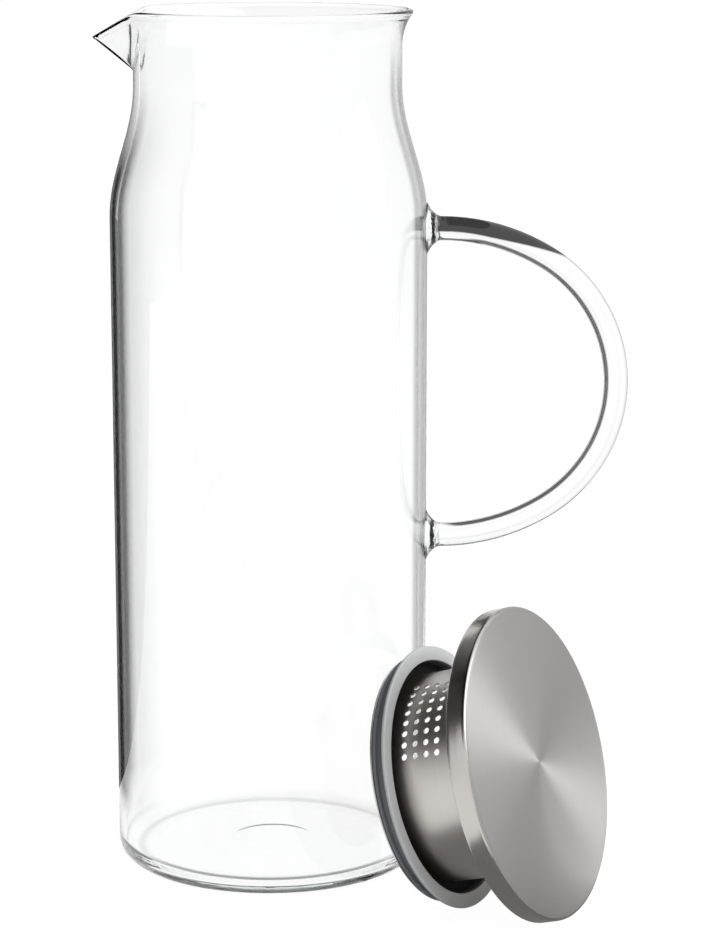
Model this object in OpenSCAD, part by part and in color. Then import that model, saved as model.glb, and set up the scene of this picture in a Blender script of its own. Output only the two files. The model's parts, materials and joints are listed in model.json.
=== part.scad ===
// Glass pitcher with a steel strainer lid, shown with the lid off and lying beside it.
// Lengths are in millimetres. The origin is the middle of the foot, with +Z up,
// the spout on -X and the handle on +X.

/* [Glass body] */
// Height from the foot to the top of the rim
pitcher_h = 273; // [220:1:320]
// Outer radius of the straight body
body_r = 50; // [46:0.5:60]
// Outer radius of the neck at its narrowest
neck_r = 42; // [38:0.5:44]
// Wall of the body and the neck
wall = 2; // [1.5:0.1:2.8]
// Height of the neck, from the top of the shoulder to the rim
neck_h = 23; // [20:0.5:34]
// Height of the curved shoulder between body and neck
shoulder_h = 42; // [30:1:60]
// Outer radius of the corner between foot and body
base_round = 6; // [4:0.5:9]
// Glass thickness of the floor
floor_t = 3; // [2:0.1:5]
// Rise of the pushed-up middle of the foot
punt_h = 1.8; // [0.5:0.1:4]
// Radius of the mould ring under the foot
mould_ring_r = 13.4; // [8:0.2:20]
// Depth of the step at the mould ring
mould_ring_step = 0.4; // [0.2:0.1:0.8]
// Inner radius of the ring that the pitcher stands on
foot_in_r = 36; // [26:0.5:38]

/* [Rim and spout] */
// How far the rim turns out past the neck
rim_flare = 3.4; // [1.5:0.1:6]
// Height of the turned-out part of the rim
flare_h = 11; // [7:0.5:14]
// How far the spout's tip stands out past the rim
spout_out = 9.6; // [5:0.2:14]
// How far the spout's tip lies below the rim
spout_drop = 8.4; // [4:0.2:11]
// Height of the spout, from its root on the neck to the rim
spout_h = 19; // [16:0.5:20]
// Glass thickness of the spout, which is thinner where it is drawn out
spout_wall = 1.8; // [1.2:0.1:2.4]

/* [Handle] */
// Radius of the glass rod
rod_r = 3.85; // [3:0.05:6]
// Distance between the rod's two roots
handle_span = 99; // [85:1:120]
// Distance from the rim down to the upper root
handle_drop = 68.5; // [66:0.5:90]
// Distance from the wall to the middle of the rod's outer bend
handle_run = 13.3; // [10:0.1:24]
// How much less the outer bend's radius is than half the distance between the roots
handle_bend_in = 2.5; // [1.5:0.1:8]
// Radius of the melted pad at each root, on the wall
pad_r = 8; // [6:0.2:10]
// Height of the melted pad, from the wall to the rod
pad_h = 4.4; // [3:0.2:7]

/* [Lid] */
// How far the cap stands out past the rim
cap_overhang = 2.9; // [1:0.1:6]
// Height of the cap's skirt
cap_h = 6.4; // [5:0.1:10]
// Sheet thickness of the cap
cap_sheet = 0.7; // [0.5:0.1:1]
// Radius of the cap's upper edge
cap_round = 1.2; // [1:0.1:2]
// Radius of the rolled hem at the foot of the skirt
hem_r = 0.5; // [0.4:0.05:0.8]
// Sheet thickness of the liner under the cap
liner_sheet = 0.6; // [0.4:0.1:1]
// Height of the liner's upturned edge
liner_lip_h = 3; // [1.5:0.1:4]
// Room between the strainer tube and the neck's bore, which the gasket fills
tube_room = 7.5; // [6.2:0.1:10]
// Sheet thickness of the strainer tube
tube_sheet = 0.5; // [0.4:0.05:0.8]
// Length of the strainer tube, from the rim's plane to its foot
tube_drop = 31.6; // [30:0.2:40]
// Width of the flange that fixes the tube to the liner
tube_flange = 2.5; // [1.5:0.1:4]
// Thickness of the ring that holds the gasket on
ring_t = 0.6; // [0.4:0.1:1.2]
// How far the retaining ring stays inside the gasket's sleeve edge and lip
ring_in = 0.4; // [0.2:0.1:1]

/* [Strainer holes] */
// Radius of one hole
hole_r = 1; // [0.6:0.05:1.3]
// Distance between neighbouring holes, round the tube and along it
hole_pitch = 3.7; // [3.2:0.1:4]
// Rows of holes along the tube
hole_rows = 4; // [2:1:4]
// Holes in each row
hole_columns = 8; // [4:1:14]
// Distance from the tube's foot up to the lowest row
first_row = 8.7; // [7.5:0.1:10]
// Direction of the middle of the holes round the lid, from its -X side
hole_turn = 42; // [0:1:359]

/* [Gasket] */
// How much wider the main lip is than the neck it seals, on the radius
gasket_squeeze = 0.9; // [0.3:0.1:1.4]
// Height of the gasket
gasket_h = 5.7; // [4.8:0.1:8]
// Height of the hub that grips the tube
hub_h = 2.2; // [1.6:0.1:3.4]
// Width of the open groove between the tube and the gasket's sleeve
groove_w = 3.75; // [2.5:0.05:4.5]
// Wall of the gasket's sleeve
sleeve_t = 1; // [0.7:0.05:1.4]
// Thickness of the gasket's two lips
lip_t = 1.2; // [0.8:0.1:1.4]
// How far the lower lip stands out past the sleeve
low_lip_out = 1.2; // [0.6:0.1:2]

/* [Resting place of the lid] */
// Direction from the pitcher to the lid, round the foot
lid_direction = -37; // [-50:1:-30]
// Direction that the cap faces, seen from above
lid_facing = -26; // [-40:1:-15]
// Room between the glass and the tube's foot, along the line to the lid
lid_gap = 16.2; // [12:0.2:40]

/* [Hidden] */

$fn = 96;
// Clearance between the gasket and the tube, and between parts pressed into each other
running_gap = 0.05;
// Clearance between the gasket and the ring below it
seat_gap = 0.3;
// Overrun of cuts
over = 1;

// Number of steps in a curved stretch of an outline
curve_steps = 14;
arc_step = 15;

// Sides of the glass rod, and its steps in the pad and in the two arcs
rod_sides = 20;
pad_steps = 6;
top_arc_steps = 2;
bend_steps = 18;

// Levels of the glass body
rim_z = pitcher_h;
neck_z = pitcher_h - neck_h;
shoulder_z = neck_z - shoulder_h;
spout_z = rim_z - spout_h;
rim_r = neck_r + rim_flare;
bore_r = neck_r - wall;
inner_round = base_round - wall / 2;

// The spout is drawn round five points, each inside a ball of this radius
spout_ball = 3;
// Room that the spout's upper points have over its sloping top edge
spout_rise = 14;
// Where the spout's sides leave the rim, as an angle from the spout's direction
spout_turn = 27;
// Depth of those places below the rim and inside it
spout_side_drop = 7;
spout_side_in = 4;
tip_r = rim_r + spout_out;
edge_start = rim_r * cos(spout_turn);
edge_slope = atan2(spout_drop, tip_r - edge_start);
lip_r = wall / 2;

// The rod's centre line: a top arc that runs into the outer bend
half_span = handle_span / 2;
handle_bend_r = half_span - handle_bend_in;
bend_off = handle_run - pad_h;
top_arc_r = (bend_off * bend_off + half_span * half_span - handle_bend_r * handle_bend_r)
    / (2 * (half_span - handle_bend_r));
top_arc_turn = atan2(bend_off, top_arc_r - half_span);
handle_mid_z = rim_z - handle_drop - half_span;

// The lid's own levels: zero is the plane that rests on the rim, +Z towards the cap's face
tube_r = bore_r - tube_room;
cap_r = rim_r + cap_overhang;
liner_r = cap_r - 2 * hem_r - running_gap;
ring_top = -tube_drop + ring_t;
gasket_low = ring_top + seat_gap;
gasket_top = gasket_low + gasket_h;
gasket_in_r = tube_r + running_gap;
sleeve_in_r = gasket_in_r + groove_w;
sleeve_r = sleeve_in_r + sleeve_t;
main_lip_r = bore_r + gasket_squeeze;
low_lip_r = sleeve_r + low_lip_out;
ring_r = low_lip_r - ring_in;
tip_of_lip = lip_t / 2;

// The lid lies on its hem and on the gasket's main lip: both rounds touch the ground
hem_at = [cap_r - hem_r, hem_r];
lip_at = [main_lip_r - tip_of_lip, gasket_top - tip_of_lip];
rest_run = norm(hem_at - lip_at);
lid_tilt = atan2(hem_at[0] - lip_at[0], hem_at[1] - lip_at[1])
    - asin((tip_of_lip - hem_r) / rest_run);
lid_z = hem_at[0] * cos(lid_tilt) + hem_r - hem_at[1] * sin(lid_tilt);
lid_away = body_r + tube_drop + lid_gap;

// Radius of the shoulder at a height
function shoulder_r(z) =
    neck_r + (body_r - neck_r) * (1 + cos(180 * (z - shoulder_z) / shoulder_h)) / 2;

// Points of a quarter arc from one angle to another about a centre
function arc_points(centre, r, from, to) =
    [for (a = [from : sign(to - from) * arc_step : to]) centre + r * [cos(a), sin(a)]];

// Height of the foot's underside at a radius
function punt_z(r) =
    punt_h * (1 + cos(180 * r / foot_in_r)) / 2 + (r < mould_ring_r ? mould_ring_step : 0);

// Outward turn of the rim at a height
function flare(z) = rim_flare * pow(max(0, (z - rim_z + flare_h) / (flare_h - lip_r)), 2);

// Middles of the rim's levels, up to the centre of its round lip
rim_levels = [for (i = [0 : curve_steps]) rim_z - flare_h + (flare_h - lip_r) * i / curve_steps];

// Outside of the glass, from the axis to the rim
function outer_points() = concat(
    [for (r = [0 : mould_ring_r / 4 : mould_ring_r * 0.99]) [r, punt_z(r)]],
    [[mould_ring_r, punt_z(mould_ring_r) + mould_ring_step]],
    [for (i = [0 : curve_steps])
        let (r = mould_ring_r + (foot_in_r - mould_ring_r) * i / curve_steps) [r, punt_z(r)]],
    arc_points([body_r - base_round, base_round], base_round, -90, 0),
    [for (i = [0 : curve_steps])
        let (z = shoulder_z + shoulder_h * i / curve_steps) [shoulder_r(z), z]],
    [for (z = rim_levels) [neck_r + flare(z), z]],
    arc_points([rim_r - lip_r, rim_z - lip_r], lip_r, arc_step, 90));

// Inside of the glass, from the rim to the axis
function inner_points() = concat(
    arc_points([rim_r - lip_r, rim_z - lip_r], lip_r, 90, 180 - arc_step),
    [for (i = [curve_steps : -1 : 0]) [bore_r + flare(rim_levels[i]), rim_levels[i]]],
    [for (i = [curve_steps : -1 : 0])
        let (z = shoulder_z + shoulder_h * i / curve_steps) [shoulder_r(z) - wall, z]],
    arc_points([body_r - wall - inner_round, floor_t + inner_round], inner_round, 0, -90),
    [for (i = [curve_steps : -1 : 0])
        let (r = foot_in_r * i / curve_steps)
            [r, floor_t + punt_h * (1 + cos(180 * r / foot_in_r)) / 2]]);

// Everything inside the body's outer surface, up to the rim
module body_outside() {
    rotate_extrude() polygon(concat(outer_points(), [[0, rim_z]]));
}

// The hollow of the pitcher, open at the top
module body_inside() {
    rotate_extrude()
        polygon(concat([[0, rim_z + over], [rim_r - lip_r, rim_z + over]], inner_points()));
}

// One ball of the spout, at a distance from the axis, an angle and a height
module spout_point(r, turn, z, ball) {
    rotate([0, 0, 180 + turn]) translate([r, 0, z]) sphere(r = ball, $fn = 28);
}

// The spout's pulled-out point as a solid, rounded by balls of one radius
module beak(ball) {
    hull() {
        spout_point(neck_r - spout_ball, 0, spout_z + spout_ball, ball);
        for (rise = [0, spout_rise])
            spout_point(tip_r - spout_ball, 0, rim_z - spout_drop + rise, ball);
        for (turn = [-spout_turn, spout_turn], rise = [0, spout_rise])
            spout_point(rim_r - spout_side_in, turn, rim_z - spout_side_drop + rise, ball);
    }
}

// What the spout's sloping top edge cuts away
module above_edge() {
    translate([-edge_start, 0, rim_z]) rotate([0, -edge_slope, 0])
        translate([-2 * tip_r, -tip_r, 0]) cube([2 * tip_r, 2 * tip_r, 2 * spout_rise]);
}

module glass_body() {
    color([0.85, 0.91, 0.9, 0.4]) difference() {
        union() {
            body_outside();
            difference() {
                beak(spout_ball);
                translate([-2 * tip_r, -tip_r, rim_z]) cube([2 * tip_r, 2 * tip_r, 2 * spout_rise]);
            }
        }
        body_inside();
        beak(spout_ball - spout_wall);
        above_edge();
    }
}

// Stations of the rod's upper half: place in the handle's plane, heading and radius.
// The melted pad at the root narrows to the rod, which bends in two arcs to its widest point.
function upper_stations() = concat(
    [[-over, half_span, 0, pad_r]],
    [for (i = [0 : pad_steps])
        let (a = 90 * i / pad_steps)
            [pad_h * (1 - cos(a)), half_span, 0, pad_r - (pad_r - rod_r) * sin(a)]],
    [for (i = [1 : top_arc_steps])
        let (a = 90 - top_arc_turn * i / top_arc_steps)
            [pad_h + top_arc_r * cos(a), half_span - top_arc_r * (1 - sin(a)), a - 90, rod_r]],
    [for (i = [1 : bend_steps - 1])
        let (a = (90 - top_arc_turn) * (1 - i / bend_steps))
            [handle_run + handle_bend_r * cos(a), handle_bend_r * sin(a), a - 90, rod_r]]);

// All stations, with the lower half mirrored from the upper one
function rod_stations() =
    let (upper = upper_stations(), last = len(upper) - 1)
        concat(upper,
            [[handle_run + handle_bend_r, 0, -90, rod_r]],
            [for (i = [last : -1 : 0])
                [upper[i][0], -upper[i][1], -180 - upper[i][2], upper[i][3]]]);

// The round of points at one station
function rod_ring(s) = [for (j = [0 : rod_sides - 1])
    let (b = 360 * j / rod_sides)
        [s[0] - s[3] * cos(b) * sin(s[2]), s[3] * sin(b), s[1] + s[3] * cos(b) * cos(s[2])]];

module swept_rod() {
    rings = [for (s = rod_stations()) rod_ring(s)];
    last = len(rings) - 1;
    faces = concat(
        [[for (j = [0 : rod_sides - 1]) j]],
        [for (i = [0 : last - 1]) for (j = [0 : rod_sides - 1])
            let (a = i * rod_sides + j, b = i * rod_sides + (j + 1) % rod_sides)
                each [[a, a + rod_sides, b + rod_sides], [a, b + rod_sides, b]]],
        [[for (j = [rod_sides - 1 : -1 : 0]) last * rod_sides + j]]);
    polyhedron(points = [for (ring = rings) each ring], faces = faces, convexity = 6);
}

module handle() {
    color([0.85, 0.91, 0.9, 0.5]) difference() {
        translate([body_r, 0, handle_mid_z]) swept_rod();
        body_outside();
    }
}

// Puts a piece of the lid, drawn upright about its own axis, where the lid lies
module lid_place() {
    rotate([0, 0, lid_direction]) translate([lid_away, 0, lid_z])
        rotate([0, 0, lid_facing - lid_direction]) rotate([0, 90 - lid_tilt, 0]) children();
}

module lid_cap() {
    color([0.72, 0.71, 0.69]) lid_place() rotate_extrude() {
        difference() {
            union() {
                square([cap_r - cap_round, cap_h]);
                translate([0, hem_r]) square([cap_r, cap_h - cap_round - hem_r]);
                translate([cap_r - cap_round, cap_h - cap_round]) circle(r = cap_round);
            }
            translate([-over, -over]) square([cap_r - cap_sheet + over, cap_h - cap_sheet + over]);
        }
        translate(hem_at) circle(r = hem_r);
    }
}

module lid_liner() {
    color([0.66, 0.65, 0.63]) lid_place() rotate_extrude() {
        square([liner_r, liner_sheet]);
        translate([liner_r - liner_sheet, 0]) square([liner_sheet, liner_lip_h]);
    }
}

module strainer_tube() {
    hole_step = 180 * hole_pitch / (PI * tube_r);
    color([0.62, 0.61, 0.58]) lid_place() difference() {
        rotate_extrude() {
            translate([tube_r - tube_sheet, -tube_drop]) square([tube_sheet, tube_drop]);
            translate([tube_r - tube_sheet, -tube_sheet])
                square([tube_flange + tube_sheet, tube_sheet]);
        }
        for (row = [0 : hole_rows - 1], column = [0 : hole_columns - 1])
            rotate([0, 0, 180 + hole_turn + hole_step * (column - (hole_columns - 1) / 2)])
                translate([tube_r - tube_sheet - over, 0, -tube_drop + first_row + row * hole_pitch])
                    rotate([0, 90, 0]) cylinder(r = hole_r, h = tube_sheet + 2 * over, $fn = 12);
    }
}

module retaining_ring() {
    color([0.35, 0.35, 0.35]) lid_place() rotate_extrude()
        translate([tube_r + running_gap, -tube_drop])
            square([ring_r - tube_r - running_gap, ring_t]);
}

// One lip of the gasket, with a round edge, at the height of its middle
module gasket_lip(edge_r, height) {
    translate([sleeve_in_r, height - tip_of_lip])
        square([edge_r - tip_of_lip - sleeve_in_r, lip_t]);
    translate([edge_r - tip_of_lip, height]) circle(r = tip_of_lip);
}

module gasket() {
    color([0.66, 0.68, 0.7]) lid_place() rotate_extrude() {
        translate([gasket_in_r, gasket_low]) square([groove_w + sleeve_t, hub_h]);
        translate([sleeve_in_r, gasket_low]) square([sleeve_t, gasket_h]);
        gasket_lip(main_lip_r, lip_at[1]);
        gasket_lip(low_lip_r, gasket_low + tip_of_lip);
    }
}

glass_body();
handle();
lid_cap();
lid_liner();
strainer_tube();
retaining_ring();
gasket();
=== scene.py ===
# %% [markdown]
# # A glass pitcher and its strainer lid
#
# The object is a tall pitcher of clear blown glass, with a drawn spout and a rod handle that is
# melted on. Its lid lies beside it: a round cap of brushed steel, a perforated steel tube that
# holds back ice and fruit, and a soft gasket that seals the neck.
#
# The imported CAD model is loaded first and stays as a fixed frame. Each visible piece is then
# modelled finely in its place, and rides on the CAD body that it belongs to.

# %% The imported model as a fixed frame
import json
import math
import bpy
import numpy as np
from mathutils import Matrix, Vector


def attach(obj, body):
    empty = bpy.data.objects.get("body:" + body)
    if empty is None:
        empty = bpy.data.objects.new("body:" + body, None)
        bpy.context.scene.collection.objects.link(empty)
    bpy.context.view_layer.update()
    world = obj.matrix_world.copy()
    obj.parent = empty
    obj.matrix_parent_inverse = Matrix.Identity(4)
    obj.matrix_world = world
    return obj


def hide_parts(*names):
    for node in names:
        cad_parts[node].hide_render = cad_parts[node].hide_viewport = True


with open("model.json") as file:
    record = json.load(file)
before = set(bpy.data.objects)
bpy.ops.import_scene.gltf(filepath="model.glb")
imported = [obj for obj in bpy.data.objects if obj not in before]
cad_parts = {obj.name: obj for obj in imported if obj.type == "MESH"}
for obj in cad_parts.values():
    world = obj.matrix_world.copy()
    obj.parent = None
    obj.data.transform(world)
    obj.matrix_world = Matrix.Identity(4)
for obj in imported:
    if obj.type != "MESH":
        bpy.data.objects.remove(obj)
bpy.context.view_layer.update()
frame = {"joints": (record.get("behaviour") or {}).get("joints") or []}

# %% [markdown]
# ## The camera
#
# The photograph was taken a little from above with a long lens, which keeps the pitcher's sides
# almost parallel. The place and the lens below were fitted to the rim, the shoulder, the foot
# and the handle of the real pitcher, so the render can be laid over the photograph.

# %% Camera
MM = 0.001
camera_place = (28.77, -942.4, 319.6)
camera_pitch = 0.2
lens_length = 116.4
film_width = 36
nearest_seen = 10

bpy.ops.object.camera_add(
    location=[c * MM for c in camera_place], rotation=(math.pi / 2 - camera_pitch, 0, 0))
camera = bpy.context.object
camera.data.lens = lens_length
camera.data.sensor_width = film_width
camera.data.clip_start = nearest_seen * MM
bpy.context.scene.camera = camera
bpy.context.scene.view_settings.view_transform = "Standard"
print("camera at", tuple(round(c, 4) for c in camera.location), "lens", lens_length)

# %% [markdown]
# ## Hand tools
#
# Most of this object is turned: the glass on a mould, the steel on a spinning lathe, the gasket in
# a round die. So the main tool traces half an outline point by point with the extrude operator
# and then turns it once round the upright axis with the spin operator. The seam is merged before
# the faces are pointed outwards.

# %% Tracing and turning an outline
round_steps = 256
merge_within = 0.005


def put_all_down():
    """Leaves edit mode and lets go of everything."""
    if bpy.context.object and bpy.context.object.mode != "OBJECT":
        bpy.ops.object.mode_set(mode="OBJECT")
    bpy.ops.object.select_all(action="DESELECT")


def take_up(piece):
    """Makes one piece the only thing in hand."""
    put_all_down()
    piece.select_set(True)
    bpy.context.view_layer.objects.active = piece


def trace(name, outline):
    """Draws (radius, height) points in millimetres, each one extruded from the last."""
    put_all_down()
    bpy.ops.mesh.primitive_plane_add(size=MM)
    piece = bpy.context.object
    piece.name = piece.data.name = name
    bpy.ops.object.mode_set(mode="EDIT")
    bpy.ops.mesh.merge(type="CENTER")
    r, z = outline[0]
    bpy.ops.transform.translate(value=(r * MM, 0, z * MM))
    for next_r, next_z in outline[1:]:
        step = ((next_r - r) * MM, 0, (next_z - z) * MM)
        bpy.ops.mesh.extrude_region_move(TRANSFORM_OT_translate={"value": step})
        r, z = next_r, next_z
    return piece


def close_and_point_outwards():
    """Merges doubled points and turns every face of a closed shell outwards."""
    bpy.ops.mesh.select_all(action="SELECT")
    bpy.ops.mesh.remove_doubles(threshold=merge_within * MM)
    bpy.ops.mesh.normals_make_consistent(inside=False)
    bpy.ops.object.mode_set(mode="OBJECT")


def turned(name, outline, steps=round_steps):
    """A piece turned from half its outline."""
    piece = trace(name, outline)
    bpy.ops.mesh.select_all(action="SELECT")
    bpy.ops.mesh.spin(steps=steps, angle=2 * math.pi, center=(0, 0, 0), axis=(0, 0, 1))
    close_and_point_outwards()
    return piece


def smooth(piece, angle=40):
    """Shades a piece smooth, apart from edges sharper than an angle in degrees."""
    take_up(piece)
    bpy.ops.object.shade_smooth_by_angle(angle=math.radians(angle))


def report(piece):
    """Prints what was made."""
    points = np.array([v.co for v in piece.data.vertices]) / MM
    low, high = points.min(0).round(1), points.max(0).round(1)
    print(f"{piece.name}: {len(piece.data.polygons)} faces, from {low} to {high} mm")

# %% Points of an outline
def arc(r, z, radius, start, end, steps):
    """Points of an arc about (r, z), between two angles in degrees."""
    return [(r + radius * math.cos(a), z + radius * math.sin(a))
            for a in np.radians(np.linspace(start, end, steps + 1))]


def ease(t):
    """0 below 0, 1 above 1, and a soft step between."""
    t = np.clip(t, 0, 1)
    return t * t * (3 - 2 * t)

# %% [markdown]
# ## The glass body
#
# The body was blown into a turned mould. It has an even wall, a thicker floor with a middle that
# is pushed up, and a faint ring in the foot, left by the mould. Both surfaces matter
# here, because light bends at each of them, so the outline runs up the outside, over the rim's
# round lip and down the inside, and is turned as one closed skin.

# %% Measures of the glass body, in millimetres
pitcher_h = 273
body_r = 50
neck_r = 42
wall = 2
base_round = 6
floor_t = 3
punt_h = 1.8
foot_in_r = 36
foot_ring_r = 40
mould_ring_r = 13.4
mould_ring_w = 2.4
mould_ring_step = 0.05
shoulder_z, neck_z = 208, 250
rim_flare = 3.4
flare_h = 11
lip_r = 1
rim_r = neck_r + rim_flare
bore_r = neck_r - wall
inner_r = body_r - wall
inner_round = base_round - wall / 2
floor_edge_r = inner_r - inner_round


def shoulder_r(z):
    """Outer radius of the shoulder at a height."""
    swing = 1 + math.cos(math.pi * (z - shoulder_z) / (neck_z - shoulder_z))
    return neck_r + (body_r - neck_r) * swing / 2


def flare(z):
    """Outward turn of the rim at a height."""
    reach = (z - pitcher_h + flare_h) / (flare_h - lip_r)
    return rim_flare * np.clip(reach, 0, 1) ** 2


def punt(r):
    """Rise of the pushed-up middle of the foot."""
    return punt_h * (1 + math.cos(math.pi * r / foot_in_r)) / 2


def under_foot(r):
    """Height of the foot's underside, with the soft step at the mould ring."""
    past_ring = (r - mould_ring_r + mould_ring_w / 2) / mould_ring_w
    return punt(r) + mould_ring_step * float(1 - ease(past_ring))

# %% The body, turned from its outline
foot_radii = [
    *np.linspace(0, 10, 8), *np.linspace(10.5, 16, 12), *np.linspace(17, foot_in_r, 15)]
wall_levels = np.linspace(20, shoulder_z - 8, 14)
shoulder_levels = np.linspace(shoulder_z, neck_z, 30)
neck_levels = np.linspace(neck_z + 1, pitcher_h - flare_h, 11)
flare_levels = np.linspace(pitcher_h - flare_h + 0.8, pitcher_h - 2, 12)

outside = (
    [(r, under_foot(r)) for r in foot_radii] + [(foot_ring_r, 0)]
    + arc(body_r - base_round, base_round, base_round, -90, 0, 14)
    + [(body_r, z) for z in wall_levels]
    + [(shoulder_r(z), z) for z in shoulder_levels]
    + [(neck_r, z) for z in neck_levels]
    + [(neck_r + flare(z), z) for z in flare_levels])
lip = arc(rim_r - lip_r, pitcher_h - lip_r, lip_r, -30, 190, 16)
inside = (
    [(bore_r + flare(z), z) for z in flare_levels[::-1]]
    + [(bore_r, z) for z in neck_levels[::-1]]
    + [(shoulder_r(z) - wall, z) for z in shoulder_levels[::-1]]
    + [(inner_r, z) for z in wall_levels[::-1]]
    + arc(floor_edge_r, floor_t + inner_round, inner_round, 0, -90, 12)
    + [(r, floor_t + punt(r)) for r in np.linspace(foot_in_r, 0, 20)])
glass = turned("glass_pitcher", outside + lip + inside)
report(glass)

# %% [markdown]
# ## The drawn spout
#
# While the rim is soft, the maker pulls one point of it outwards and down with a pointed tool. The
# glass follows in a narrow beak: widest at the rim, and running out in a point lower on the neck.
# An operator with a soft falloff would give a round bulge, so here each point of the skin is
# moved in code, outwards along its own radius. The columns of points are first gathered
# towards the spout, where the form is finest.

# %% The form of the drawn lip, seen from above
spout_out = 9.6
spout_drop = 8.4
spout_z = pitcher_h - 19
spout_turn = math.radians(27)
tip_ball = 3
side_in = 4
gather = 0.6
softness = 0.8
root_width = 0.28
fade_start, fade_width = math.radians(28), math.radians(13)

tip_at = np.array([rim_r + spout_out - tip_ball, 0])
side_at = (rim_r - side_in) * np.array([math.cos(spout_turn), math.sin(spout_turn)])
along = (side_at - tip_at) / np.linalg.norm(side_at - tip_at)
facing = np.array([along[1], -along[0]])
edge_start = rim_r * math.cos(spout_turn)
edge_slope = spout_drop / (rim_r + spout_out - edge_start)


def above_zero(value):
    """The value where it is above 0, and 0 elsewhere, with a soft bend between."""
    return softness * np.log1p(np.exp(np.clip(value / softness, -30, 30)))


def lip_reach(turn):
    """How far the lip is drawn out, at an angle from the spout: a round tip, then straight sides."""
    turn = np.abs(turn)
    side_turn = turn - math.atan2(facing[1], facing[0])
    on_side = (tip_at @ facing + tip_ball) / np.cos(side_turn)
    tip_turn = math.atan2(tip_ball * facing[1], tip_at[0] + tip_ball * facing[0])
    near = np.minimum(turn, tip_turn)
    on_tip = tip_at[0] * np.cos(near) + np.sqrt(tip_ball ** 2 - (tip_at[0] * np.sin(near)) ** 2)
    drawn = np.where(turn < tip_turn, on_tip, on_side) - rim_r
    return above_zero(drawn) * (1 - ease((turn - fade_start) / fade_width))


print("lip drawn out by", round(float(lip_reach(0.0)), 2), "mm at the spout's tip")

# %% Drawing the spout out of the rim
points = np.empty(len(glass.data.vertices) * 3)
glass.data.vertices.foreach_get("co", points)
x, y, z = points.reshape(-1, 3).T / MM
radius = np.hypot(x, y)
turn = np.arctan2(y, -x)
turn = turn - gather * np.sin(turn)
level = np.clip((z - spout_z) / (pitcher_h - spout_z), 0, 1)
beak_turn = turn / (root_width + (1 - root_width) * level)
out = lip_reach(np.clip(beak_turn, -math.pi, math.pi))
pull = ((rim_r + spout_out - neck_r) * level - flare(np.minimum(z, pitcher_h - lip_r))) / spout_out
radius = radius + out * np.clip(pull, 0, 1)
past_edge = (rim_r + out) * np.cos(beak_turn) - edge_start
drop = edge_slope * above_zero(past_edge) * (np.abs(beak_turn) < 1)
z = z - drop * level
glass.data.vertices.foreach_set(
    "co", (np.stack([-radius * np.cos(turn), radius * np.sin(turn), z], 1) * MM).ravel())
glass.data.update()
report(glass)

# %% [markdown]
# ## The rod handle
#
# The handle is a straight glass rod, bent while hot and pressed on to the wall at both ends, where
# it spreads into a small melted pad. A ring of points starts inside the wall, is extruded
# and resized into the pad, and is then spun along three arcs. A boolean union afterwards
# makes one piece of glass, because a face left between two bodies of glass would show as a mirror.

# %% Measures of the rod, in millimetres
rod_r = 3.85
rod_sides = 40
handle_span = 99
root_z = 204.5
handle_run = 13.3
bend_in = 2.5
pad_outline = [
    (-1, 7.7), (0.1, 8.0), (0.5, 7.2), (1.1, 6.2), (1.9, 5.2), (2.9, 4.4), (3.7, 4.0), (4.4, rod_r)]
half_span = handle_span / 2
bend_r = half_span - bend_in
pad_h = pad_outline[-1][0]
middle_z = root_z - half_span
bend_off = handle_run - pad_h
top_arc_r = (bend_off ** 2 + half_span ** 2 - bend_r ** 2) / (2 * (half_span - bend_r))
top_arc_turn = math.atan2(bend_off, top_arc_r - half_span)
print("handle bent at a radius of", bend_r, "mm, and of", round(top_arc_r, 1), "mm at its roots")

# %% Bending the rod and melting it on to the wall
def pull_ring(out_by, grow, z):
    """Extrudes the ring in hand along the rod's root and resizes it about the rod's axis."""
    bpy.ops.mesh.extrude_region_move(TRANSFORM_OT_translate={"value": (out_by * MM, 0, 0)})
    bpy.ops.transform.resize(value=(1, grow, grow), center_override=(0, 0, z * MM))


def bend(turn, u, v, steps):
    """Spins the ring in hand about a point of the handle's plane, from the upper root downwards."""
    bpy.ops.mesh.spin(steps=steps, angle=turn, axis=(0, -1, 0),
                      center=((body_r + u) * MM, 0, (middle_z + v) * MM))


put_all_down()
start, start_r = pad_outline[0]
bpy.ops.mesh.primitive_circle_add(vertices=rod_sides, radius=start_r * MM, rotation=(0, math.pi / 2, 0),
                                  location=((body_r + start) * MM, 0, root_z * MM))
rod = bpy.context.object
rod.name = "handle_rod"
bpy.ops.object.transform_apply(location=True, rotation=True, scale=True)
bpy.ops.object.mode_set(mode="EDIT")
bpy.ops.mesh.select_all(action="SELECT")
for (u0, r0), (u1, r1) in zip(pad_outline, pad_outline[1:]):
    pull_ring(u1 - u0, r1 / r0, root_z)
bend(top_arc_turn, pad_h, half_span - top_arc_r, 10)
bend(math.pi - 2 * top_arc_turn, handle_run, 0, 56)
bend(top_arc_turn, pad_h, top_arc_r - half_span, 10)
for (u0, r0), (u1, r1) in zip(pad_outline[::-1], pad_outline[-2::-1]):
    pull_ring(u1 - u0, r1 / r0, 2 * middle_z - root_z)
bpy.ops.mesh.select_all(action="SELECT")
bpy.ops.mesh.fill_holes(sides=0)
close_and_point_outwards()
report(rod)

# %% One piece of glass
take_up(glass)
weld = glass.modifiers.new("weld", "BOOLEAN")
weld.operation = "UNION"
weld.solver = "EXACT"
weld.object = rod
bpy.ops.object.modifier_apply(modifier="weld")
bpy.data.objects.remove(rod)
smooth(glass, 60)
report(glass)
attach(glass, "pitcher")
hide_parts("glass_body", "handle")

# %% [markdown]
# ## The lid's own frame
#
# The lid lies tilted on its cap's hem and its gasket's lip. Its pieces are easier to make standing
# upright round their own axis, and are then put in place together. The CAD joint on which
# the lid turns in its gasket gives that axis, so nothing has to be fitted by eye: height zero
# is the plane that rests on the pitcher's rim, and +Z points out of the cap's face.

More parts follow.
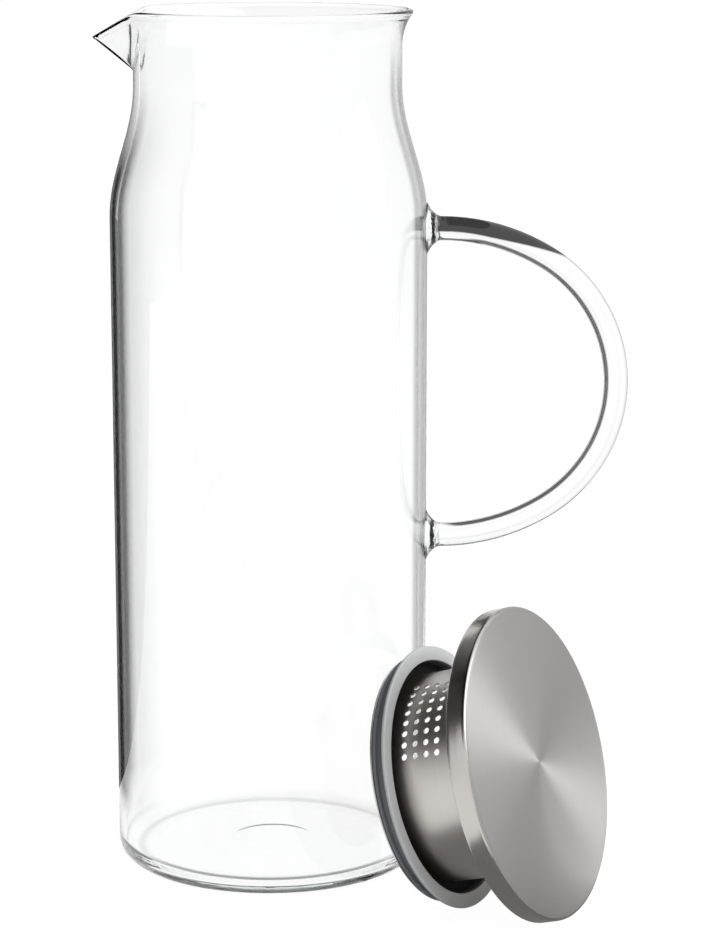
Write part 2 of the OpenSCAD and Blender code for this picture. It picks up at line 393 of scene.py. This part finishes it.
# %% Where the lid lies
hinge = next(j for j in frame["joints"] if j["name"] == "lid_turn")
lid_axis = Vector(hinge["axis"]).normalized()
lid_up = (Vector((0, 0, 1)) - lid_axis.z * lid_axis).normalized()
lid_side = lid_axis.cross(-lid_up)
lid_place = Matrix((-lid_up, lid_side, lid_axis)).transposed().to_4x4()
lid_place.translation = Vector(hinge["pos_m"])


def lay_down(piece):
    """Moves an upright lid piece to where the lid lies, with its place in its mesh."""
    take_up(piece)
    piece.matrix_world = lid_place
    bpy.ops.object.transform_apply(location=True, rotation=True, scale=True)
    report(piece)


print("lid axis", tuple(round(c, 3) for c in lid_axis))

# %% [markdown]
# ## The steel cap
#
# The cap is pressed from one round sheet: a flat face, a small round at its edge, a short skirt and
# a hem that is rolled inwards so that no cut edge shows. Its liner is a second, thinner dish that
# closes it from below. Only the outlines are needed, since the spin operator does what the press
# and the spinning lathe do.

# %% The cap
cap_r = 48.3
cap_h = 6.4
cap_sheet = 0.7
cap_round = 1.2
cap_face_r = 46
cap_under_r = 30
skirt_z = 3
hem_r = 0.5
hem_top = 1.4
cap = turned("lid_cap_steel", (
    [(r, cap_h) for r in np.linspace(0, cap_face_r, 8)]
    + arc(cap_r - cap_round, cap_h - cap_round, cap_round, 90, 0, 8)
    + [(cap_r, skirt_z), (cap_r, hem_top)]
    + arc(cap_r - hem_r, hem_r, hem_r, 0, -180, 10)
    + [(cap_r - cap_sheet, hem_top), (cap_r - cap_sheet, skirt_z)]
    + arc(cap_r - cap_round, cap_h - cap_round, cap_round - cap_sheet, 0, 90, 6)
    + [(cap_under_r, cap_h - cap_sheet), (0, cap_h - cap_sheet)]))
lay_down(cap)
smooth(cap)
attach(cap, "lid")
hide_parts("lid_cap")

# %% The liner
liner_r = 47.25
liner_h = 3
liner_sheet = 0.6
liner_edge = 0.1
liner_round = 0.4
liner_flat_r = 36
liner = turned("lid_liner_steel", (
    [(0, 0), (20, 0), (liner_flat_r, 0)]
    + arc(liner_r - liner_sheet, liner_sheet, liner_sheet, -90, 0, 6)
    + [(liner_r, liner_h - liner_edge), (liner_r - liner_edge, liner_h)]
    + [(liner_r - liner_sheet + liner_edge, liner_h), (liner_r - liner_sheet, liner_h - liner_edge)]
    + [(liner_r - liner_sheet, liner_sheet + liner_round)]
    + arc(liner_r - liner_sheet - liner_round, liner_sheet + liner_round, liner_round, 0, -90, 4)
    + [(liner_flat_r, liner_sheet), (0, liner_sheet)]))
lay_down(liner)
smooth(liner)
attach(liner, "lid")
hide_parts("lid_liner")

# %% [markdown]
# ## The strainer tube
#
# The tube is a strip of thin steel with a block of round holes, punched while it was flat, then
# rolled, welded and flanged. Here the tube is turned first. One round punch is modelled,
# copied to each hole's place, and a boolean difference does the punching.

# %% The tube
tube_r = 32.5
tube_sheet = 0.5
tube_drop = 31.6
tube_edge = 0.1
tube_levels = (-4, -14, -24, -31.5)
tube_steps = 320
flange_r = 35
flange_bend = 0.4
tube = turned("strainer_tube_steel", (
    [(tube_r - tube_sheet, z) for z in (0, *tube_levels)]
    + [(tube_r - tube_sheet + tube_edge, -tube_drop), (tube_r - tube_edge, -tube_drop)]
    + [(tube_r, z) for z in tube_levels[::-1]]
    + arc(tube_r + flange_bend, -tube_sheet - flange_bend, flange_bend, 180, 90, 4)
    + [(flange_r, -tube_sheet), (flange_r, 0), (tube_r - tube_sheet, 0)]), tube_steps)
report(tube)

# %% Its holes
hole_r = 1
hole_pitch = 3.7
hole_rows, hole_columns = 4, 8
first_row = 8.7
hole_turn = 42
punch_sides = 32
punch_length = 4

put_all_down()
bpy.ops.mesh.primitive_cylinder_add(
    vertices=punch_sides, radius=hole_r * MM, depth=punch_length * MM,
    rotation=(0, math.pi / 2, 0), location=(tube_r * MM, 0, 0))
punch = bpy.context.object
bpy.ops.object.transform_apply(location=True, rotation=True, scale=True)
one_punch = punch.data.copy()
hole_step = hole_pitch / tube_r
punches = []
for row in range(hole_rows):
    for column in range(hole_columns):
        turn_by = math.pi + math.radians(hole_turn) + hole_step * (column - (hole_columns - 1) / 2)
        height = (-tube_drop + first_row + row * hole_pitch) * MM
        copy = bpy.data.objects.new("punch", one_punch.copy())
        copy.data.transform(Matrix.Translation((0, 0, height)) @ Matrix.Rotation(turn_by, 4, "Z"))
        bpy.context.collection.objects.link(copy)
        punches.append(copy)
bpy.data.objects.remove(punch)
put_all_down()
for copy in punches:
    copy.select_set(True)
bpy.context.view_layer.objects.active = punches[0]
bpy.ops.object.join()
punches = bpy.context.object
take_up(tube)
press = tube.modifiers.new("press", "BOOLEAN")
press.operation = "DIFFERENCE"
press.solver = "EXACT"
press.object = punches
bpy.ops.object.modifier_apply(modifier="press")
bpy.data.objects.remove(punches)
lay_down(tube)
smooth(tube)
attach(tube, "lid")
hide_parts("strainer_tube")

# %% [markdown]
# ## The retaining ring and the gasket
#
# A flat steel ring at the tube's foot keeps the gasket on. The gasket is moulded in one piece: a hub
# that grips the tube, a thin sleeve round an open groove, and two lips with round edges. The
# outer edges are what seals, so they are modelled with true rounds and not left as corners.

# %% The ring
ring_in, ring_out = 32.55, 38.1
ring_t = 0.6
ring_edge = 0.15
ring_low = -tube_drop
ring_top = ring_low + ring_t
ring = turned("retaining_ring_steel", [
    (ring_in, ring_low + ring_edge), (ring_in + ring_edge, ring_low),
    (ring_out - ring_edge, ring_low), (ring_out, ring_low + ring_edge),
    (ring_out, ring_top - ring_edge), (ring_out - ring_edge, ring_top),
    (ring_in + ring_edge, ring_top), (ring_in, ring_top - ring_edge),
    (ring_in, ring_low + ring_edge)])
lay_down(ring)
smooth(ring)
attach(ring, "lid")
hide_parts("retaining_ring")

# %% The gasket
hub_r = 32.55
groove_r, sleeve_r = 36.3, 37.3
main_lip_r, low_lip_r = 40.9, 38.5
lip_edge = 0.6
small_round, lip_root, groove_round = 0.3, 0.5, 0.6
low, top, hub_top = -30.7, -25.0, -28.5
gasket = turned("gasket_silicone", (
    arc(hub_r + small_round, low + small_round, small_round, 180, 270, 4)
    + arc(low_lip_r - lip_edge, low + lip_edge, lip_edge, -90, 90, 12)
    + arc(sleeve_r + small_round, low + 2 * lip_edge + small_round, small_round, 270, 180, 4)
    + arc(sleeve_r + lip_root, top - 2 * lip_edge - lip_root, lip_root, 180, 90, 5)
    + arc(main_lip_r - lip_edge, top - lip_edge, lip_edge, -90, 90, 12)
    + arc(groove_r + small_round, top - small_round, small_round, 90, 180, 4)
    + arc(groove_r - groove_round, hub_top + groove_round, groove_round, 0, -90, 5)
    + arc(hub_r + small_round, hub_top - small_round, small_round, 90, 180, 4)
    + [(hub_r, low + small_round)]))
lay_down(gasket)
smooth(gasket, 50)
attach(gasket, "gasket")
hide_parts("gasket")

# %% [markdown]
# ## Mixing finishes
#
# A finish is a small network of shader nodes. The `Dial` below wraps one output, so that shader maths
# reads as plain arithmetic, and a `Mixer` adds any other node from its type, its settings and
# the values or links of its sockets.

# %% Arithmetic on shader values
class Dial:
    """One output of a node, with arithmetic that adds Math nodes."""

    def __init__(self, mixer, socket):
        self.mixer = mixer
        self.socket = socket

    def other(self, output):
        """Another output of the same node."""
        return Dial(self.mixer, self.socket.node.outputs[output])

    def _math(self, operation, *terms):
        return self.mixer.node("ShaderNodeMath", {"operation": operation}, dict(enumerate(terms)))

    def __add__(self, other):
        return self._math("ADD", self, other)

    __radd__ = __add__

    def __sub__(self, other):
        return self._math("SUBTRACT", self, other)

    def __rsub__(self, other):
        return self._math("SUBTRACT", other, self)

    def __mul__(self, other):
        return self._math("MULTIPLY", self, other)

    __rmul__ = __mul__

    def __truediv__(self, other):
        return self._math("DIVIDE", self, other)

    def __pow__(self, other):
        return self._math("POWER", self, other)

    def or_more(self, other):
        """The larger of two values."""
        return self._math("MAXIMUM", self, other)

    def step(self, start, end):
        """0 below start, 1 above end, and a soft step between."""
        return self.mixer.node("ShaderNodeMapRange", {"interpolation_type": "SMOOTHSTEP"},
                               {0: self, 1: start, 2: end})

    def band(self, start, full, fade, end):
        """1 from full to fade, 0 below start and above end, with soft steps between."""
        return self.step(start, full) * (1 - self.step(fade, end))

# %% Adding nodes
class Mixer:
    """Adds nodes to one network."""

    def __init__(self, tree):
        self.tree = tree

    def feed(self, node, socket, value):
        """Sets or links one socket of a node."""
        target = node.inputs[socket]
        if isinstance(value, Dial):
            self.tree.links.new(value.socket, target)
        elif isinstance(value, tuple) and target.type == "RGBA":
            target.default_value = (*value, 1)
        else:
            target.default_value = value

    def node(self, kind, settings, sockets, output=0):
        """Adds a node: its settings first, then its sockets; returns one of its outputs."""
        node = self.tree.nodes.new(kind)
        for name, value in settings.items():
            setattr(node, name, value)
        for socket, value in sockets.items():
            self.feed(node, socket, value)
        return None if output is None else Dial(self, node.outputs[output])

    def place(self, output="Object"):
        """Where a point of the surface is, in the object's own coordinates."""
        return self.node("ShaderNodeTexCoord", {}, {}, output)

    def split(self, vector):
        """The three parts of a vector."""
        first = self.node("ShaderNodeSeparateXYZ", {}, {0: vector})
        return first, first.other(1), first.other(2)

    def blend(self, amount, first, second):
        """Mixes two colours."""
        return self.node("ShaderNodeMix", {"data_type": "RGBA"}, {0: amount, 6: first, 7: second}, 2)

    def noise(self, vector, scale, detail=2, roughness=0.5):
        """A smooth random value that varies with a vector."""
        return self.node("ShaderNodeTexNoise", {}, {
            "Vector": vector, "Scale": scale, "Detail": detail, "Roughness": roughness})

    def bump(self, height, strength, distance):
        """Turns a height into a tilt of the surface."""
        return self.node("ShaderNodeBump", {}, {
            "Height": height, "Strength": strength, "Distance": distance})

    def edge_on(self, direction=None):
        """0 where the surface, or another direction, points at the eye, and 1 where it is edge-on."""
        sockets = {"Blend": 0.5} if direction is None else {"Blend": 0.5, "Normal": direction}
        return self.node("ShaderNodeLayerWeight", {}, sockets, "Facing")

# %% A finish on one shader
class Finish(Mixer):
    """A material on one Principled shader, whose sockets are set by name."""

    def __init__(self, name, **constants):
        self.material = bpy.data.materials.new(name)
        self.material.use_nodes = True
        super().__init__(self.material.node_tree)
        self.shader = self.tree.nodes["Principled BSDF"]
        self.end = self.tree.nodes["Material Output"]
        self.give(**constants)

    def give(self, **inputs):
        """Sets or links the shader's inputs."""
        for socket, value in inputs.items():
            self.feed(self.shader, socket.replace("_", " ").title().replace("Ior", "IOR"), value)

    def dress(self, *pieces):
        """Puts the finish on whole pieces."""
        for piece in pieces:
            piece.data.materials.clear()
            piece.data.materials.append(self.material)

# %% [markdown]
# ## Clear glass
#
# Glass has no colour of its own here. What the eye reads is where it bends light away: a wall seen
# edge-on looks dark, because the light that comes through it has a long way to go inside. A white
# room alone leaves those edges too pale, so painted shade in the base colour deepens towards them,
# at the angle that Layer Weight gives. The painted shade is wider and deeper on the spout's side,
# where the room around is darker. To an eye that looks down, the walls stay clear, and the foot
# and the rim have no such edge shade at all.

# %% The wall's dark edges
# Pairs are where a soft step starts and ends: places in millimetres, or angles as edge_on gives them.
rod_root = (body_r + 1.5, body_r + 3.5)
spout_side_to_far_side = (-45, 25)
wall_from = (14, 26)
wall_to, wall_to_lower = (248, 266), (26, 14)
line_from, line_full, line_wider = 0.66, 0.76, 0.14
line_depth, line_deeper = 0.78, 0.217
outline_edge, outline_relief = (0.82, 0.94), 0.5
shade_edge, shade_depth = (0.25, 0.60), 0.25
down_to_side = (0.15, 0.60)

clear_glass = Finish("clear_glass", transmission_weight=1.0, roughness=0.0, ior=1.47)
place = clear_glass.place()
x, y, height = (part / MM for part in clear_glass.split(place))
edge_on = clear_glass.edge_on()
on_rod = x.step(*rod_root)
# painted shade: the edge shade is stronger on the spout's side, where the room is darker
spout_side_shade_share = 1 - x.step(*spout_side_to_far_side)
below_rim = 1 - height.step(*(z - lower * spout_side_shade_share for z, lower in zip(wall_to, wall_to_lower)))
on_wall = height.step(*wall_from) * below_rim * (1 - on_rod)
# painted shade: a dark line where the wall is seen edge-on, and a softer shade beside it
line = (edge_on.step(line_from - line_wider * spout_side_shade_share, line_full)
        * (1 - outline_relief * edge_on.step(*outline_edge)))
shade = shade_depth * edge_on.step(*shade_edge) * spout_side_shade_share
from_side = clear_glass.edge_on(clear_glass.node("ShaderNodeCombineXYZ", {}, {2: 1.0}))
wall_painted_shade = ((line * (line_depth + line_deeper * spout_side_shade_share)).or_more(shade) * on_wall
             * from_side.step(*down_to_side))
print("wall tint of", len(clear_glass.tree.nodes), "nodes")

# %% [markdown]
# The rod is solid, so it bends light much more than the wall. Its upper side gets a painted dark
# shade that narrows to a point along the bend, with a bright, unpainted stripe below it, where a
# normal tilted upwards faces the eye. A painted dark line runs along the inside of the bend, and
# both edges have a weaker painted shade.

# %% The rod's painted dark upper side and inner line
inner_depth, upper_depth, edge_depth, faint_depth = 0.985, 0.998, 0.7, 0.14
inner_band, faint_band = (0.13, 0.27, 0.56, 0.72), (0.03, 0.06, 0.08, 0.15)
rod_edge = (0.25, 0.85)
up_from, up_full, up_rise = -0.25, -0.10, 1.15
narrowing, dark_end = (68, 104), (96, 108)
upper_arm = (160, 180)
normal_tilt, stripe_edge = 0.52, (0.004, 0.02)

from_bend_middle = ((x - (body_r + handle_run)) ** 2 + (height - middle_z) ** 2) ** 0.5
inside_bend = 1 - from_bend_middle.step(bend_r - 1, bend_r)
inner_line = edge_on.band(*inner_band) * inside_bend
faint_line = faint_depth * edge_on.band(*faint_band)

up = clear_glass.split(clear_glass.place("Normal"))[2]
normal = clear_glass.node("ShaderNodeNewGeometry", {}, {}, "Normal")
tilted = clear_glass.node(
    "ShaderNodeVectorMath", {"operation": "ADD"}, {0: normal, 1: (0.0, 0.0, normal_tilt)})
tilted = clear_glass.node("ShaderNodeVectorMath", {"operation": "NORMALIZE"}, {0: tilted})
taper = x.step(*narrowing)
# painted shade on the rod's upper side, standing in for the dark that the bent light shows there
painted_dark_upper_side = (up.step(up_from + up_rise * taper, up_full + up_rise * taper)
              * clear_glass.edge_on(tilted).step(*stripe_edge)
              * (1 - x.step(*dark_end)) * height.step(*upper_arm))
# painted shade of the rod: its upper side, its inner line and its edges
rod_painted_shade = (inner_depth * inner_line).or_more(upper_depth * painted_dark_upper_side).or_more(
    edge_depth * edge_on.step(*rod_edge)).or_more(faint_line) * on_rod
print("with the rod's tint", len(clear_glass.tree.nodes), "nodes")

# %% [markdown]
# In the foot, the round between the wall and the floor gets painted shade: a soft dark arc in front
# and a thin line behind. The melted pads and the foot's outer round are a little lumpy, and a very
# slight, slow bump stands for the waviness of blown glass. A weak green comes from the depth of
# the glass.

# %% The foot, the lumps and the finish as a whole
arc_depth, back_depth = 0.9, 0.4
front_to_side = (-32, -6)
lumpy_round, lumpy_height = (45, 47), (2, 4)
wave_scale, pad_scale, foot_scale = 38.0, 420.0, 260.0
wave_relief, pad_relief, foot_relief = 0.016, 0.45, 0.22
clear_tone, dark_tone = (0.995, 0.998, 0.996), (0.0, 0.0, 0.0)
green_tone, green_density = (0.72, 0.80, 0.77), 8.0

from_axis = (x ** 2 + y ** 2) ** 0.5
at_front = 1 - y.step(*front_to_side)
foot_round = (height.step(floor_t - 0.6, floor_t - 0.1)
              * from_axis.step(floor_edge_r - 3, floor_edge_r))
# painted shade: a dark arc in the foot's round, on the front only, and a thin line behind
painted_front_arc = (arc_depth * at_front * foot_round * (1 - from_axis.step(inner_r - 0.4, inner_r + 0.6))
             * (1 - height.step(floor_t + 0.8, floor_t + 5)))
painted_back_line = (back_depth * foot_round * (1 - from_axis.step(floor_edge_r, floor_edge_r + 2))
             * (1 - height.step(floor_t + 0.4, floor_t + 1.2)))

waves = clear_glass.noise(place, wave_scale, 1)
pad_lumps = (clear_glass.noise(place, pad_scale)
             * x.band(body_r - 0.5, body_r, body_r + 3.5, body_r + 6.5))
foot_lumps = (clear_glass.noise(place, foot_scale) * from_axis.step(*lumpy_round)
              * (1 - height.step(*lumpy_height)))
relief = wave_relief * waves + pad_relief * pad_lumps + foot_relief * foot_lumps

from_outside = 1 - clear_glass.node("ShaderNodeNewGeometry", {}, {}, "Backfacing")
# painted shade from the wall, the rod and the foot, put into the glass's base colour
tint = ((wall_painted_shade + rod_painted_shade) * from_outside).or_more(painted_front_arc.or_more(painted_back_line))
clear_glass.give(
    base_color=clear_glass.blend(tint, clear_tone, dark_tone),
    normal=clear_glass.bump(relief, 1.0, MM))
depth = clear_glass.node(
    "ShaderNodeVolumeAbsorption", {}, {"Color": green_tone, "Density": green_density})
clear_glass.feed(clear_glass.end, "Volume", depth)
clear_glass.dress(glass)
print("glass finish of", len(clear_glass.tree.nodes), "nodes")

# %% [markdown]
# ## Brushed steel
#
# The cap's face was brushed while it turned, so its fine scratches run in circles and the light
# spreads across them in two fans. Cycles draws that with anisotropy, whose direction comes
# from the mesh's own texture space: round Z, seen along a face's normal. On a flat face that
# is exactly round the face's middle, if the texture space is even and has its middle there. The
# cap's skirt, the ring and the liner are smoother, and the tube has a satin surface in between.

# %% Coordinates and streaks of the lid
streaks_per_m = 5200.0
streak_turns = 2.2


def lid_coordinates(finish):
    """The lid's own upright coordinates, worked out from the object's: across, side, height, out."""
    own = finish.node("ShaderNodeMapping", {"vector_type": "TEXTURE"}, {
        "Vector": finish.place(), "Location": tuple(lid_place.translation),
        "Rotation": tuple(lid_place.to_euler())})
    across, side, height = finish.split(own)
    return across, side, height, (across ** 2 + side ** 2) ** 0.5


def brushing(finish, fast):
    """Streaks that run round the lid: fine along one coordinate and long round the axis."""
    across, side, height, out = lid_coordinates(finish)
    run = out if fast == "out" else height
    vector = finish.node("ShaderNodeCombineXYZ", {}, {
        0: run * streaks_per_m, 1: across / out * streak_turns, 2: side / out * streak_turns})
    return finish.noise(vector, 1.0, 3, 0.6)


print("streaks:", streaks_per_m, "to the metre")

# %% The steel finishes
tone_spread = 0.07
roughness_spread = 0.03
streak_relief, streak_depth = 0.03, 0.00002
texture_space = (0.1, 0.1, 0.1)
on_face = cap_h - 0.1


def steel(name, fast, tone, roughness, anisotropic):
    """Brushed steel with streaks in its colour, its roughness and its surface."""
    finish = Finish(name, metallic=1.0, anisotropic=anisotropic, anisotropic_rotation=0.25)
    streaks = brushing(finish, fast)
    darker, lighter = (tuple(c * share for c in tone) for share in (1 - tone_spread, 1 + tone_spread))
    finish.give(
        base_color=finish.blend(streaks, darker, lighter),
        roughness=roughness - roughness_spread + 2 * roughness_spread * streaks,
        normal=finish.bump(streaks, streak_relief, streak_depth))
    return finish


brushed_face = steel("brushed_face", "out", (0.59, 0.582, 0.573), 0.42, 0.89)
brushed_side = steel("brushed_side", "height", (0.57, 0.55, 0.525), 0.22, 0.0)
satin_tube = steel("satin_tube", "height", (0.60, 0.575, 0.545), 0.34, 0.0)
brushed_face.dress(cap)
brushed_side.dress(ring, liner)
satin_tube.dress(tube)
cap.data.materials.append(brushed_side.material)
for face in cap.data.polygons:
    middle = lid_place.inverted() @ face.center
    face.material_index = 0 if middle.z > on_face * MM else 1
cap.data.use_auto_texspace = False
cap.data.texspace_location = lid_place @ Vector((0, 0, cap_h * MM))
cap.data.texspace_size = texture_space
print("steel on", [o.name for o in (cap, tube, ring, liner)])

# %% [markdown]
# ## Silicone
#
# The gasket is a grey silicone with a soft, slightly dusty surface. A little light enters it, which
# fills its shadows. The main lip is the silicone's own grey, with painted light on its upper face,
# where the thin lip lets most light through. The thick sleeve below has painted shade, and the open
# groove between the sleeve and the tube has painted shade that is almost black, where no light gets
# to. A fine grain keeps the roughness from looking even.

# %% The gasket's finish, with painted light and shade
groove_painted_shade_tone = (0.01, 0.01, 0.01)
sleeve_painted_shade_tone = (0.23, 0.24, 0.26)
lip_tones = (0.58, 0.60, 0.62), (0.66, 0.68, 0.70)
lip_face_painted_light_tone = (0.90, 0.91, 0.92)
light_reach = 0.002
grain_scale, cloud_scale = 900.0, 60.0
grain_relief, grain_depth = 0.08, 0.0001
plain_roughness, grain_roughness, groove_roughness = 0.38, 0.14, 0.4

soft_grey = Finish("soft_grey_silicone", subsurface_weight=0.15, ior=1.42,
                   subsurface_radius=(light_reach, light_reach, light_reach))
grain = soft_grey.noise(soft_grey.place(), grain_scale, 3)
clouds = soft_grey.noise(soft_grey.place(), cloud_scale)
height, out = (part / MM for part in lid_coordinates(soft_grey)[2:])
# painted shade: the groove between the sleeve and the tube is painted almost black
in_groove = 1 - out.step(groove_r - 0.3, groove_r + 0.4)
in_lip = height.step(top - 1.6, top - 1.2)
painted_light_on_lip_face = height.step(top - 0.5, top - 0.1)
# painted shade on the sleeve, and painted light on the lip's upper face
rubber = soft_grey.blend(in_lip, sleeve_painted_shade_tone, soft_grey.blend(clouds, *lip_tones))
rubber = soft_grey.blend(painted_light_on_lip_face, rubber, lip_face_painted_light_tone)
soft_grey.give(
    base_color=soft_grey.blend(in_groove, rubber, groove_painted_shade_tone),
    roughness=plain_roughness + grain_roughness * grain + groove_roughness * in_groove,
    normal=soft_grey.bump(grain, grain_relief, grain_depth))
soft_grey.dress(gasket)
print("silicone on", gasket.name)

# %% [markdown]
# ## Studio
#
# The photograph has a plain white ground with hardly any shadow. The world and the floor are white
# where the camera, a reflection or a view through glass meets them, and give an even soft
# light to everything else. Grey and black cards outside the picture, which only reflections
# show, put the dark lines into the glass and shape the steel, and one bright card draws the two
# fans on the cap's face. The black card above is also seen through glass, because the cap's
# edge mirrors it there. The cards throw no shadow, and the two lamps light only what is not steel
# or glass, so no lamp shows as a bright square.

# %% The white room and its floor
def seen_directly(mixer):
    """1 for a ray from the camera, a reflection or a view through glass, and 0 for soft light."""
    path = mixer.node("ShaderNodeLightPath", {}, {}, "Is Camera Ray")
    return path.or_more(path.other("Is Glossy Ray")).or_more(path.other("Is Transmission Ray"))


soft_light = 0.3
floor_glow = 1.2
floor_share = 0.8
floor_size = 12

world = bpy.data.worlds.new("white_room")
bpy.context.scene.world = world
world.use_nodes = True
room = Mixer(world.node_tree)
room.tree.nodes.clear()
plain, white = (room.node("ShaderNodeBackground", {}, {"Color": (1.0, 1.0, 1.0), "Strength": strength})
                for strength in (soft_light, 1.0))
walls = room.node("ShaderNodeMixShader", {}, {0: seen_directly(room), 1: plain, 2: white})
room.node("ShaderNodeOutputWorld", {}, {0: walls}, None)

put_all_down()
bpy.ops.mesh.primitive_plane_add(size=floor_size)
floor = bpy.context.object
floor.name = "floor"
paper = Finish("white_paper", base_color=(0.9, 0.9, 0.9), roughness=0.9, specular_ior_level=0.0)
glow = paper.node("ShaderNodeEmission", {}, {"Strength": floor_glow})
sheet = paper.node("ShaderNodeMixShader", {}, {
    0: seen_directly(paper) * floor_share, 1: Dial(paper, paper.shader.outputs[0]), 2: glow})
paper.feed(paper.end, "Surface", sheet)
paper.dress(floor)
print("world", world.name, "and a floor", floor_size, "m wide")

# %% Cards that only reflections show
def card(name, place, turn, width, height, tone, through_glass=False):
    """A flat card in one tone, which only reflections show, and refracted rays where wanted."""
    put_all_down()
    bpy.ops.mesh.primitive_plane_add(size=1, location=place, rotation=turn)
    piece = bpy.context.object
    piece.name = name
    piece.scale = (width, height, 1)
    bpy.ops.object.transform_apply(location=True, rotation=True, scale=True)
    board = Finish(name)
    even = board.node("ShaderNodeEmission", {}, {"Color": (1.0, 1.0, 1.0), "Strength": tone})
    board.feed(board.end, "Surface", even)
    board.dress(piece)
    piece.visible_camera = piece.visible_diffuse = piece.visible_shadow = False
    piece.visible_transmission = through_glass


upright = (math.pi / 2, 0, 0)
sideways = (math.pi / 2, 0, math.pi / 2)
flat = (0, 0, 0)
cap_middle = Vector((0.1, -0.08, 0.06))
fan_place = Vector((1.18, -0.26, 0.86))
fan_long = Vector((-0.28, -0.70, 0.57)).normalized()
fan_out = (cap_middle - fan_place).normalized()
fan_wide = fan_long.cross(fan_out).normalized()
fan_turn = tuple(Matrix((fan_wide, fan_long, fan_wide.cross(fan_long))).transposed().to_euler())
card("card_left", (-1.3, 0.35, 0.8), sideways, 2.1, 1.6, 0.06)
card("card_right", (1.9, 0.0, 0.5), sideways, 4.0, 1.0, 0.62)
card("card_back_left", (-0.80, 1.9, 0.8), upright, 1.5, 1.6, 0.02)
card("card_back_right", (1.08, 1.9, 0.8), upright, 1.84, 1.6, 0.62)
card("card_above", (-0.75, 0.0, 1.6), flat, 2.5, 4.0, 0.01, through_glass=True)
card("card_fans", tuple(fan_place), fan_turn, 0.70, 1.2, 2.8)
card("floor_card_left", (-0.69, 1.16, 0.001), flat, 1.34, 2.2, 0.0)
card("floor_card_right", (1.2, 0.5, 0.001), flat, 2.1, 2.8, 0.6)
card("floor_card_under", (0.095, -0.0975, 0.0005), flat, 0.13, 0.125, 0.22)

# %% Lamps
lamp_target = Vector((0.03, -0.02, 0.1))


def lamp(name, place, size, power):
    """A square soft lamp that points at the pitcher's middle, and that no reflection shows."""
    put_all_down()
    aim = (lamp_target - Vector(place)).to_track_quat("-Z", "Y").to_euler()
    bpy.ops.object.light_add(type="AREA", location=place, rotation=aim)
    light = bpy.context.object
    light.name = name
    light.data.size = size
    light.data.energy = power
    light.visible_camera = light.visible_glossy = light.visible_transmission = False


lamp("soft_lamp_right", (1.25, 0.1, 0.75), 1.0, 10)
lamp("soft_lamp_front", (0.9, -1.2, 1.4), 1.2, 10.5)
